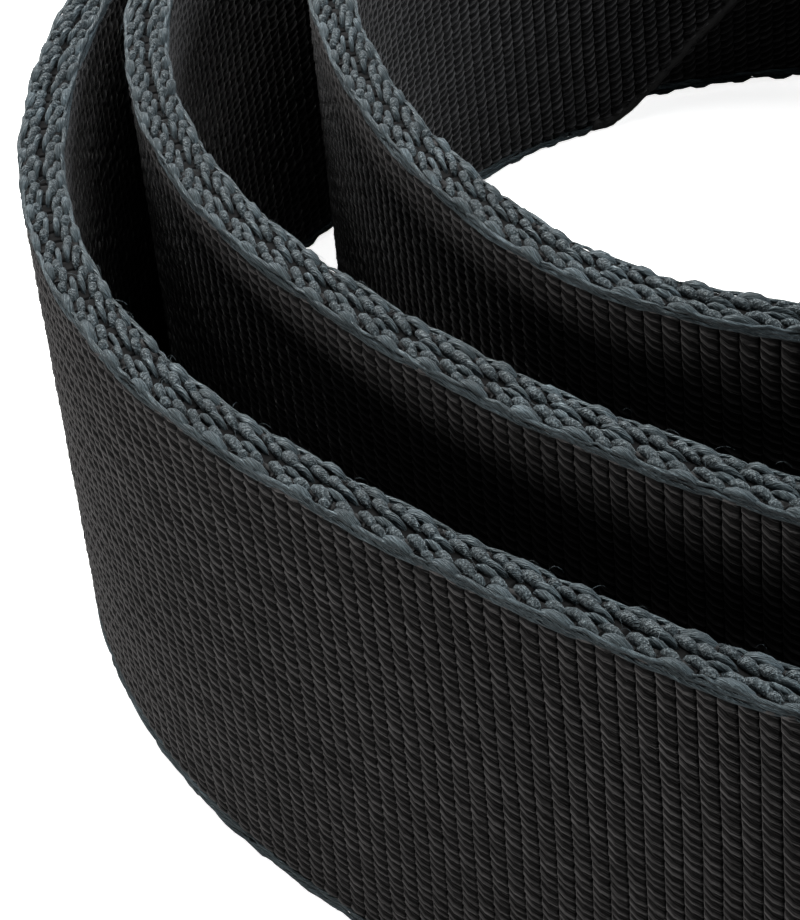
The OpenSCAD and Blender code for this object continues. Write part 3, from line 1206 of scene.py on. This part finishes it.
class NodeBench:
    """A node tree with short ways to add and join nodes."""

    def __init__(self, tree: bpy.types.NodeTree) -> None:
        """Works on a tree."""
        self.tree = tree

    def add(self, kind: str, links: dict[str | int, object] | None = None,
            **settings: object) -> bpy.types.Node:
        """Adds a node.

        Args:
            kind: The node's type, without its ShaderNode prefix.
            links: A socket to link, or a value to set, for inputs by name or number.
            settings: Properties of the node.

        Returns:
            The node.
        """
        node = self.tree.nodes.new("ShaderNode" + kind)
        for key, value in settings.items():
            setattr(node, key, value)
        for key, value in (links or {}).items():
            if isinstance(value, bpy.types.NodeSocket):
                self.tree.links.new(value, node.inputs[key])
            else:
                node.inputs[key].default_value = value
        return node

    def math(self, operation: str, *values: object) -> bpy.types.NodeSocket:
        """Adds a Math node on sockets or numbers and returns its result."""
        return self.add("Math", dict(enumerate(values)), operation=operation).outputs[0]

    def times(self, first: object, second: object) -> bpy.types.NodeSocket:
        """Multiplies two values."""
        return self.math("MULTIPLY", first, second)

    def plus(self, first: object, second: object) -> bpy.types.NodeSocket:
        """Adds two values."""
        return self.math("ADD", first, second)

    def spread(self, value: object, low: float, high: float, to_low: float = 0.0, to_high: float = 1.0,
               smooth: bool = True) -> bpy.types.NodeSocket:
        """Maps a value from one range to another.

        Args:
            value: The value.
            low: Where the first range begins.
            high: Where it ends.
            to_low: What the first range's beginning becomes.
            to_high: What its end becomes.
            smooth: Whether it eases at both ends; if not, the way is straight.

        Returns:
            The new value, held between the second range's ends.
        """
        kind = "SMOOTHSTEP" if smooth else "LINEAR"
        links = {0: value, 1: low, 2: high, 3: to_low, 4: to_high}
        return self.add("MapRange", links, interpolation_type=kind, clamp=True).outputs[0]

    def noise(self, vector: object, scale: float, detail: float = 3.0,
              rough: float = 0.55) -> bpy.types.NodeSocket:
        """Adds a noise texture.

        Args:
            vector: Where it is read.
            scale: How fine it is.
            detail: How many finer layers it has.
            rough: How strong the finer layers are.

        Returns:
            Its value.
        """
        links = {"Vector": vector, "Scale": scale, "Detail": detail, "Roughness": rough}
        return self.add("TexNoise", links).outputs[0]

    def vector(self, x: object, y: object, z: object = 0.0) -> bpy.types.NodeSocket:
        """Joins three values into a vector."""
        return self.add("CombineXYZ", {0: x, 1: y, 2: z}).outputs[0]

    def blend(self, share: object, first: object, second: object) -> bpy.types.NodeSocket:
        """Mixes two colours.

        Args:
            share: How much of the second one, from 0 to 1.
            first: The first colour, as a socket or as red, green and blue.
            second: The second colour, given in the same way.

        Returns:
            The mixed colour.
        """
        node = self.add("Mix", {0: share}, data_type="RGBA")
        for slot, value in ((6, first), (7, second)):
            if isinstance(value, bpy.types.NodeSocket):
                self.tree.links.new(value, node.inputs[slot])
            else:
                node.inputs[slot].default_value = (*value, 1.0)
        return node.outputs[2]


def effect_group(name: str, inputs: dict[str, float],
                 outputs: Sequence[str]) -> tuple[NodeBench, bpy.types.Node, bpy.types.Node]:
    """Starts a shader node group.

    Args:
        name: The group's name.
        inputs: Its value inputs and their defaults.
        outputs: Its value outputs.

    Returns:
        A bench on the group, its input node and its output node.
    """
    tree = bpy.data.node_groups.new(name, "ShaderNodeTree")
    for label, value in inputs.items():
        socket = tree.interface.new_socket(label, in_out="INPUT", socket_type="NodeSocketFloat")
        socket.default_value = value
    for label in outputs:
        tree.interface.new_socket(label, in_out="OUTPUT", socket_type="NodeSocketFloat")
    return NodeBench(tree), tree.nodes.new("NodeGroupInput"), tree.nodes.new("NodeGroupOutput")


def fibre_group() -> bpy.types.NodeTree:
    """Builds the effect of fine filaments that run along a yarn, twisted a little.

    Returns:
        The node group.
    """
    inputs = {"Along": 0.0, "Across": 0.0, "Stretch": 0.4, "Fineness": 12.0, "Twist": 0.3, "Seed": 0.0}
    bench, given, made = effect_group("filaments", inputs, ("Height", "Tone"))
    along, seed = given.outputs["Along"], given.outputs["Seed"]
    across = bench.plus(given.outputs["Across"], bench.times(along, given.outputs["Twist"]))
    lines = bench.vector(bench.times(along, given.outputs["Stretch"]),
                         bench.times(across, given.outputs["Fineness"]), seed)
    fine = bench.noise(lines, 1.0, 2.0, 0.5)
    broad = bench.noise(bench.vector(bench.times(along, 0.11), 0.0, seed), 1.0, 1.0)
    bench.tree.links.new(bench.spread(fine, 0.25, 0.75), made.inputs["Height"])
    bench.tree.links.new(bench.spread(broad, 0.3, 0.7), made.inputs["Tone"])
    return bench.tree


def brushed_group() -> bpy.types.NodeTree:
    """Builds the effect of brushed metal: long fine scratches, a few deep ones, and smudges.

    Returns:
        The node group.
    """
    bench, given, made = effect_group("brushed_metal", {"Along": 60.0, "Across": 2600.0, "Smudge": 90.0},
                                      ("Height", "Scratch", "Smudge"))
    spot = bench.add("TexCoord").outputs["Object"]
    parts = bench.add("SeparateXYZ", {0: spot})
    across = bench.plus(parts.outputs[0], parts.outputs[1])
    lines = bench.vector(bench.times(across, given.outputs["Across"]), 0.0,
                         bench.times(parts.outputs[2], given.outputs["Along"]))
    fine = bench.noise(lines, 1.0, 3.0, 0.6)
    deep = bench.spread(bench.noise(lines, 0.5, 0.0), 0.72, 0.80)
    smudge = bench.noise(spot, 1.0, 4.0)
    bench.tree.links.new(given.outputs["Smudge"], smudge.node.inputs["Scale"])
    bench.tree.links.new(fine, made.inputs["Height"])
    bench.tree.links.new(deep, made.inputs["Scratch"])
    bench.tree.links.new(bench.spread(smudge, 0.35, 0.7), made.inputs["Smudge"])
    return bench.tree


class Finish:
    """What every finish shares: a material with one Principled shader."""

    def start(self, name: str) -> tuple[NodeBench, bpy.types.Material]:
        """Makes an empty material.

        Args:
            name: The material's name.

        Returns:
            A bench on its nodes, and the material.
        """
        material = bpy.data.materials.new(name)
        material.use_nodes = True
        material.node_tree.nodes.clear()
        return NodeBench(material.node_tree), material

    def shade(self, bench: NodeBench, links: dict[str, object], height: object, distance: float) -> None:
        """Adds the shader and joins it to the material's output.

        Args:
            bench: The bench on the material's nodes.
            links: What goes into the shader's inputs.
            height: The surface's fine relief, which a Bump node turns into normals.
            distance: How deep the relief is, in metres.
        """
        bump = bench.add("Bump", {"Height": height, "Distance": distance, "Strength": 1.0})
        shader = bench.add("BsdfPrincipled", {**links, "Normal": bump.outputs[0]})
        output = bench.add("OutputMaterial")
        bench.tree.links.new(shader.outputs[0], output.inputs[0])


@dataclass(frozen=True)
class RibbedNylon(Finish):
    """Black nylon with filaments across each woven bump, a painted highlight near each bump's lower seam
    that fades upward, and painted shade in the seams and grooves between bumps.
    """

    # Painted light: the first colour is the nylon under a painted highlight, the second the near-black
    # painted shade in the seams and grooves between bumps.
    painted_lit_crest: Colour = (0.088, 0.085, 0.086)
    painted_shade_gap: Colour = (0.0012, 0.0012, 0.0013)
    lint: Colour = (0.12, 0.115, 0.11)
    fineness: float = 13.0
    stretch: float = 1.6
    relief: float = 0.00016

    def make(self, fibres: bpy.types.NodeTree) -> bpy.types.Material:
        """Makes the material.

        Args:
            fibres: The filament effect.

        Returns:
            The material.
        """
        bench, material = self.start("ribbed_nylon")
        chart = bench.add("SeparateXYZ", {0: bench.add("UVMap", uv_map=WEAVE_MAP).outputs[0]})
        ribs, bumps = chart.outputs[0], chart.outputs[1]
        column = bench.math("FLOOR", ribs)
        effect = bench.add("Group", {}, node_tree=fibres)
        sources = {"Along": ribs, "Across": bumps, "Seed": bench.times(column, 3.7)}
        for label, value in sources.items():
            bench.tree.links.new(value, effect.inputs[label])
        effect.inputs["Stretch"].default_value = self.stretch
        effect.inputs["Fineness"].default_value = self.fineness
        effect.inputs["Twist"].default_value = 0.0
        within = bench.math("FRACT", bumps)
        # Painted highlight and shade: a bright band rises just above each bump's lower seam and fades
        # upward, dark at both seams; the same band also lifts the bump relief below.
        rise = bench.spread(within, 0.05, 0.20)
        fade = bench.spread(within, 0.18, 0.72, 1.0, 0.06)
        close = bench.spread(within, 0.90, 1.0, 1.0, 0.0)
        painted_bump_light_and_relief = bench.times(rise, bench.times(fade, close))
        # Painted shade in the groove at the side of each rib.
        side = bench.math("ABSOLUTE", bench.math("SUBTRACT", bench.math("FRACT", ribs), 0.46))
        painted_groove_shade = bench.spread(side, 0.34, 0.5, 1.0, 0.0)
        painted_light_mask = bench.times(painted_bump_light_and_relief, painted_groove_shade)
        spot = bench.add("TexCoord").outputs["Object"]
        patchy = bench.spread(bench.noise(spot, 55.0, 4.0), 0.3, 0.7, 0.75, 1.15)
        # The filament streaks in the colour are painted filament highlights; the patchy factor is random
        # tone.
        painted_filament_sheen_and_tone = bench.times(bench.spread(effect.outputs["Height"], 0.1, 0.9, 0.12, 1.5), patchy)
        share = bench.times(painted_light_mask, painted_filament_sheen_and_tone)
        colour = bench.blend(share, self.painted_shade_gap, self.painted_lit_crest)
        # Lint specks on the nylon, kept to where the painted light mask is.
        specks = bench.spread(bench.noise(spot, 2100.0, 1.0), 0.80, 0.86)
        colour = bench.blend(bench.times(bench.times(specks, painted_light_mask), 0.5), colour, self.lint)
        height = bench.plus(bench.times(effect.outputs["Height"], 0.4),
                            bench.times(painted_bump_light_and_relief, 0.6))
        rough = bench.spread(painted_light_mask, 0.0, 0.6, 0.95, 0.52)
        links = {"Base Color": colour, "Roughness": rough, "Sheen Weight": 0.10, "Sheen Roughness": 0.4,
                 "Specular IOR Level": 0.22}
        self.shade(bench, links, height, self.relief)
        return material


@dataclass(frozen=True)
class BraidedNylon(Finish):
    """Slate nylon yarn with fine filaments along each float, with painted highlights on the filaments and
    the raised grain and painted shade between the filaments and in the grain's hollows.
    """

    # Painted light: the light colour is the yarn under a painted highlight, the dark colour its painted
    # shade; the grain colour is the painted highlight on raised grain.
    light: Colour = (0.112, 0.150, 0.172)
    dark: Colour = (0.007, 0.011, 0.014)
    grain_and_painted_light: Colour = (0.24, 0.275, 0.29)
    gloss: Colour = (0.76, 0.95, 1.0)
    name: str = "braided_nylon"
    fineness: float = 7.0
    stretch: float = 0.7
    # How steeply the painted shade between filaments deepens.
    painted_filament_shade_power: float = 2.4
    grain_scale: float = 4600.0
    relief: float = 0.0003

    def make(self, fibres: bpy.types.NodeTree) -> bpy.types.Material:
        """Makes the material.

        Args:
            fibres: The filament effect.

        Returns:
            The material.
        """
        bench, material = self.start(self.name)
        chart = bench.add("SeparateXYZ", {0: bench.add("UVMap", uv_map=WEAVE_MAP).outputs[0]})
        effect = bench.add("Group", {}, node_tree=fibres)
        bench.tree.links.new(chart.outputs[0], effect.inputs["Along"])
        bench.tree.links.new(chart.outputs[1], effect.inputs["Across"])
        effect.inputs["Stretch"].default_value = self.stretch
        effect.inputs["Fineness"].default_value = self.fineness
        halfway = CRIMP_SHIFT / 2.0
        crimped = bench.spread(chart.outputs[1], halfway, halfway + 1.0)
        twist = bench.plus(0.22, bench.times(crimped, 0.9))
        bench.tree.links.new(twist, effect.inputs["Twist"])
        # Partly painted light: where the filament relief is high the colour takes a painted highlight and
        # where it is low painted shade; the broad tone along the yarn is random.
        share = bench.plus(bench.times(effect.outputs["Height"], 0.55),
                           bench.times(effect.outputs["Tone"], 0.45))
        colour = bench.blend(bench.math("POWER", share, self.painted_filament_shade_power), self.dark, self.light)
        spot = bench.add("TexCoord").outputs["Object"]
        grain_and_painted_light = bench.noise(spot, self.grain_scale, 2.0, 0.6)
        # Painted highlight on the raised grain of crimped yarn, and painted shade in the grain's hollows.
        painted_grain_highlight = bench.times(crimped, bench.spread(grain_and_painted_light, 0.50, 0.66))
        pits = bench.times(crimped, bench.spread(grain_and_painted_light, 0.40, 0.52, 1.0, 0.0))
        dotted = bench.blend(bench.times(painted_grain_highlight, 0.6), colour, self.grain_and_painted_light)
        colour = bench.blend(pits, dotted, self.dark)
        rough = bench.spread(effect.outputs["Height"], 0.0, 1.0, 0.70, 0.36)
        coarse = bench.plus(0.25, bench.times(crimped, 1.1))
        height = bench.plus(bench.times(effect.outputs["Height"], 0.6),
                            bench.times(grain_and_painted_light, coarse))
        links = {"Base Color": colour, "Roughness": rough, "Sheen Weight": 0.06, "Sheen Roughness": 0.4,
                 "Specular IOR Level": 0.55, "Specular Tint": (*self.gloss, 1.0)}
        self.shade(bench, links, height, self.relief)
        return material


@dataclass(frozen=True)
class MeltedNylon(Finish):
    """Nylon that a hot knife melted: smooth, glossy in places, with drips and pits."""

    base: Colour = (0.012, 0.012, 0.0125)
    dull: Colour = (0.030, 0.029, 0.028)
    relief: float = 0.0003

    def make(self) -> bpy.types.Material:
        """Makes the material.

        Returns:
            The material.
        """
        bench, material = self.start("melted_nylon")
        spot = bench.add("TexCoord").outputs["Object"]
        flow = bench.noise(spot, 420.0, 4.0)
        pits = bench.spread(bench.noise(spot, 1500.0, 2.0), 0.3, 0.5)
        colour = bench.blend(bench.spread(flow, 0.35, 0.65), self.base, self.dull)
        height = bench.plus(bench.times(flow, 0.8), bench.times(pits, 0.2))
        links = {"Base Color": colour, "Roughness": bench.spread(flow, 0.3, 0.7, 0.22, 0.5)}
        self.shade(bench, links, height, self.relief)
        return material


@dataclass(frozen=True)
class BrushedSteel(Finish):
    """Stainless steel with brush lines, a few deep scratches and smudges."""

    name: str
    light: Colour = (0.54, 0.54, 0.53)
    dark: Colour = (0.36, 0.36, 0.36)
    smooth: float = 0.33
    dull: float = 0.40
    relief: float = 0.000012

    def make(self, brushed: bpy.types.NodeTree) -> bpy.types.Material:
        """Makes the material.

        Args:
            brushed: The brushed-metal effect.

        Returns:
            The material.
        """
        bench, material = self.start(self.name)
        effect = bench.add("Group", {}, node_tree=brushed)
        lines, scratch, smudge = (effect.outputs[k] for k in ("Height", "Scratch", "Smudge"))
        share = bench.math("MAXIMUM", bench.times(scratch, 0.35), bench.times(lines, 0.6))
        colour = bench.blend(share, self.light, self.dark)
        rough = bench.plus(bench.spread(smudge, 0.0, 1.0, self.smooth, self.dull),
                           bench.times(lines, 0.10))
        height = bench.math("SUBTRACT", bench.times(lines, 0.8), bench.times(scratch, 0.2))
        links = {"Base Color": colour, "Roughness": rough, "Metallic": 1.0}
        self.shade(bench, links, height, self.relief)
        return material


# ---------------------------------------------------------------- the belt and its stage


@dataclass(frozen=True)
class BandPlan:
    """A stretch of woven band: the plain node that it stands for, its name and where it ends."""

    node: str
    name: str
    end: float


class WeightBelt:
    """Builds every soft and steel piece of the belt and hangs it on the plain model's bodies."""

    tip = (arc(58, 47), arc(46, 6))
    inner = (arc(46, 69), arc(107, 30), arc(45.5, 60), arc(64.5, 90), arc(64, 90))
    middle = (arc(79.5, 45), arc(57.5, 45), arc(81.5, 30), arc(141, 30), arc(67, 30), arc(75, 90),
              arc(101, 90))
    outer = (arc(70, 45), arc(104, 45), arc(80.5, 40), arc(223, 15))
    run = (arc(223, 15), arc(75, 40), arc(62, 70))
    lift = 5.0
    loop_lean = 16.0
    loop_radius = 5.33
    part_radius = 20.0
    part_run = 7.61
    fold = 62.0
    parting = 14.3
    tail = 58.0
    start = (0.2, 82.9)
    heading = 148.0
    piece_ribs = 61
    stray_count = 1400

    def __init__(self) -> None:
        """Lays the route and the buckle's space out."""
        joints = {j["name"]: Vector(j["pos_m"]) / MM for j in frame["joints"]}
        self.space = BuckleSpace(joints["buckle_swing"], joints["lever_release"])
        sewn = straight(self.fold - self.parting)
        away = arc(self.part_radius, -self.loop_lean)
        round_bar = arc(self.loop_radius, 180.0 + 2.0 * self.loop_lean)
        loop = (sewn, away, straight(self.part_run), round_bar, straight(self.part_run), away,
                straight(self.tail - self.parting))
        parts = (self.tip, self.inner, self.middle, self.outer, self.run)
        self.route = Route(self.start, self.heading, sum(parts, ()) + loop)
        self.ends = np.cumsum([sum(s.length for s in part) for part in parts])
        self.route.rise = (float(self.ends[3]), float(self.ends[4]))
        self.route.height = self.lift
        self.webbing = Webbing(self.route)
        self.fibres = fibre_group()
        self.brushed = brushed_group()

    def settle(self, piece: bpy.types.Object, material: bpy.types.Material, body: str,
               nodes: Sequence[str] = ()) -> None:
        """Gives a piece its finish and its place in the plain model.

        Args:
            piece: The piece.
            material: Its material.
            body: The body it rides on.
            nodes: The plain nodes it stands for.
        """
        piece.data.materials.clear()
        piece.data.materials.append(material)
        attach(piece, body)
        if nodes:
            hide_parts(*nodes)
        LOG.info("%s: %d faces", piece.name, len(piece.data.polygons))

    def weave(self) -> None:
        """Weaves the belt's bands from the free end to the sewn tail."""
        nylon = RibbedNylon().make(self.fibres)
        ends = self.ends
        plans = (
            BandPlan("webbing_free_end", "free_end_weave", ends[0]),
            BandPlan("webbing_inner_wrap", "inner_wrap_weave", ends[1]),
            BandPlan("webbing_middle_wrap", "middle_wrap_weave", ends[2]),
            BandPlan("webbing_outer_wrap", "outer_wrap_weave", ends[3]),
            BandPlan("webbing_buckle_run", "buckle_run_weave", ends[4]),
            BandPlan("webbing_anchor_fold", "sewn_loop_weave", float(self.route.knots[-1]) - 1.5),
        )
        begin = 0
        for plan in plans:
            finish = round(plan.end / self.webbing.rib)
            pieces = math.ceil((finish - begin) / self.piece_ribs)
            marks = [begin + round((finish - begin) * k / pieces) for k in range(pieces + 1)]
            for k, (first, last) in enumerate(zip(marks, marks[1:])):
                cut = first * self.webbing.rib < self.webbing.cut_from
                shell = self.webbing.band(first, last, cut)
                name = plan.name if pieces == 1 else f"{plan.name}_{k + 1}"
                piece = mesh_object(name, shell)
                self.settle(piece, nylon, "strap", (plan.node,))
            begin = finish

    def braid(self) -> None:
        """Braids the four edge rows."""
        slate = BraidedNylon().make(self.fibres)
        end = float(self.route.knots[-1]) - 2.0
        rows = ((Ply.OUTER, Edge.UPPER, 1.5), (Ply.INNER, Edge.UPPER, 1.5),
                (Ply.OUTER, Edge.LOWER, 51.0), (Ply.INNER, Edge.LOWER, 51.0))
        for seed, (ply, edge, start) in enumerate(rows):
            name = f"{ply.name.lower()}_ply_{edge.name.lower()}"
            row = mesh_object(f"{name}_braid", self.webbing.braided_row(ply, edge, start, end, seed + 11))
            self.settle(row, slate, "strap", (f"{name}_selvedge",))
        fibres = self.webbing.stray_fibres(3.0, end - 3.0, self.stray_count, 29)
        self.settle(mesh_object("stray_fibres", fibres), slate, "strap")

    def seal(self) -> None:
        """Melts the cut edges at the free end and at the sewn tail."""
        melted = MeltedNylon().make()
        low, high = 0.9, self.webbing.width - 0.9
        along = np.linspace(0.6, self.webbing.cut_from + 5.0, 64)
        up = np.maximum(np.minimum(self.webbing.cut_height(along), high), low)
        bead = mesh_object("melted_free_end", self.webbing.melted_edge(along, up, 5))
        self.settle(bead, melted, "strap", ("heat_sealed_tip",))
        along = np.full(48, float(self.route.knots[-1]) - 1.2)
        up = np.linspace(low, high, 48)
        tail = mesh_object("melted_tail_edge", self.webbing.melted_edge(along, up, 6))
        self.settle(tail, melted, "strap")

    def sew(self) -> None:
        """Sews the double layer behind the anchor bar."""
        thread = BraidedNylon((0.19, 0.19, 0.195), (0.06, 0.06, 0.062), name="bonded_thread")
        sewn = BoxStitching(self.space).build()
        self.settle(sewn, thread.make(self.fibres), "strap", ("anchor_stitching",))

    def forge(self) -> None:
        """Makes the buckle's steel parts."""
        pressed = BrushedSteel("pressed_stainless").make(self.brushed)
        turned = BrushedSteel("turned_stainless", (0.56, 0.56, 0.55), (0.42, 0.42, 0.42),
                              0.24, 0.32).make(self.brushed)
        cast = BrushedSteel("tumbled_cast_stainless", (0.50, 0.50, 0.49), (0.36, 0.36, 0.36),
                            0.36, 0.44).make(self.brushed)
        sheet = PressedFrame(self.space)
        self.settle(sheet.build(), pressed, "buckle", ("buckle_frame",))
        self.settle(sheet.rolled_lip(), pressed, "buckle")
        rods = TurnedParts(self.space)
        self.settle(rods.anchor_rod(), turned, "buckle", ("anchor_bar",))
        self.settle(rods.hinge_rivet(), turned, "buckle", ("hinge_pin",))
        self.settle(rods.pin_ring(), turned, "buckle", ("pin_washer",))
        self.settle(Lever(self.space).build(), cast, "lever", ("lever",))


@dataclass(frozen=True)
class SoftBox:
    """A large soft lamp: where it is, what it faces, its size in metres, power in watts and colour."""

    name: str
    spot: tuple[float, float, float]
    size: tuple[float, float]
    power: float
    colour: Colour = (1.0, 1.0, 1.0)
    aim: tuple[float, float, float] = (-0.02, -0.05, 0.03)

    def hang(self) -> None:
        """Adds the lamp to the scene."""
        data = bpy.data.lights.new(self.name, "AREA")
        data.shape = "RECTANGLE"
        data.size, data.size_y = self.size
        data.energy = self.power
        data.color = self.colour
        lamp = bpy.data.objects.new(self.name, data)
        lamp.location = self.spot
        lamp.rotation_euler = (Vector(self.aim) - Vector(self.spot)).to_track_quat("-Z", "Y").to_euler()
        bpy.context.scene.collection.objects.link(lamp)


@dataclass
class Studio:
    """The pale floor, the soft lamps and the camera."""

    eye: tuple[float, float, float] = (-0.0770, -0.2257, 0.1893)
    pitch: float = 37.33
    roll: float = -5.70
    lens: float = 111.6
    lamps: tuple[SoftBox, ...] = (
        SoftBox("top_softbox", (0.10, 0.30, 1.10), (0.9, 0.7), 14.0),
        SoftBox("back_softbox", (-0.30, 0.80, 0.50), (0.7, 0.3), 10.0),
        SoftBox("left_softbox", (-0.95, -0.16, 0.24), (0.35, 0.35), 6.5, (1.0, 0.97, 0.95)),
        SoftBox("right_softbox", (0.90, -0.12, 0.55), (0.5, 0.5), 9.0, (0.92, 0.96, 1.0)),
    )
    floor_reach: float = 6.0
    floor_shade: Colour = (0.16, 0.16, 0.16)
    floor_seen: Colour = (0.90, 0.90, 0.90)
    sky: float = 0.045
    sky_seen: float = 1.0
    glow: float = 0.86

    def camera(self) -> None:
        """Adds the camera."""
        tilt, turn = math.radians(self.pitch), math.radians(self.roll)
        ahead = Vector((0.0, math.cos(tilt), -math.sin(tilt)))
        level = Vector((1.0, 0.0, 0.0))
        upright = level.cross(ahead)
        right = level * math.cos(turn) + upright * math.sin(turn)
        up = upright * math.cos(turn) - level * math.sin(turn)
        data = bpy.data.cameras.new("camera")
        data.lens = self.lens
        data.clip_start = 0.005
        rig = bpy.data.objects.new("camera", data)
        rig.matrix_world = Matrix.Translation(self.eye) @ Matrix((right, up, -ahead)).transposed().to_4x4()
        bpy.context.scene.collection.objects.link(rig)
        bpy.context.scene.camera = rig

    def floor(self) -> None:
        """Adds a plain floor that stays white to the camera."""
        reach = self.floor_reach
        mesh = bpy.data.meshes.new("floor")
        corners = [(x * reach, y * reach, 0.0) for x, y in ((-1, -1), (1, -1), (1, 1), (-1, 1))]
        mesh.from_pydata(corners, [], [(0, 1, 2, 3)])
        ground = bpy.data.objects.new("floor", mesh)
        bpy.context.scene.collection.objects.link(ground)
        material = bpy.data.materials.new("white_floor")
        material.use_nodes = True
        material.node_tree.nodes.clear()
        bench = NodeBench(material.node_tree)
        seen = bench.add("LightPath").outputs["Is Camera Ray"]
        paint = bench.blend(seen, self.floor_shade, self.floor_seen)
        matt = bench.add("BsdfDiffuse", {"Color": paint})
        white = bench.add("Emission", {"Strength": bench.times(seen, self.glow)})
        both = bench.add("AddShader", {0: matt.outputs[0], 1: white.outputs[0]})
        output = bench.add("OutputMaterial")
        bench.tree.links.new(both.outputs[0], output.inputs[0])
        mesh.materials.append(material)

    def light(self) -> None:
        """Hangs the lamps and sets the sky and the view."""
        for lamp in self.lamps:
            lamp.hang()
        world = bpy.data.worlds.new("studio")
        world.use_nodes = True
        backdrop = world.node_tree.nodes["Background"]
        backdrop.inputs["Color"].default_value = (0.95, 0.97, 1.0, 1.0)
        bench = NodeBench(world.node_tree)
        seen = bench.add("LightPath").outputs["Is Camera Ray"]
        strength = bench.spread(seen, 0.0, 1.0, self.sky, self.sky_seen, smooth=False)
        world.node_tree.links.new(strength, backdrop.inputs["Strength"])
        bpy.context.scene.world = world
        bpy.context.scene.view_settings.view_transform = "Standard"

    def set_up(self) -> None:
        """Builds the whole studio."""
        self.camera()
        self.floor()
        self.light()


def main() -> None:
    """Builds the studio and the belt."""
    logging.basicConfig(level=logging.INFO, format="%(name)s: %(message)s")
    Studio().set_up()
    belt = WeightBelt()
    belt.weave()
    belt.braid()
    belt.seal()
    belt.sew()
    belt.forge()


if __name__ == "__main__":
    main()
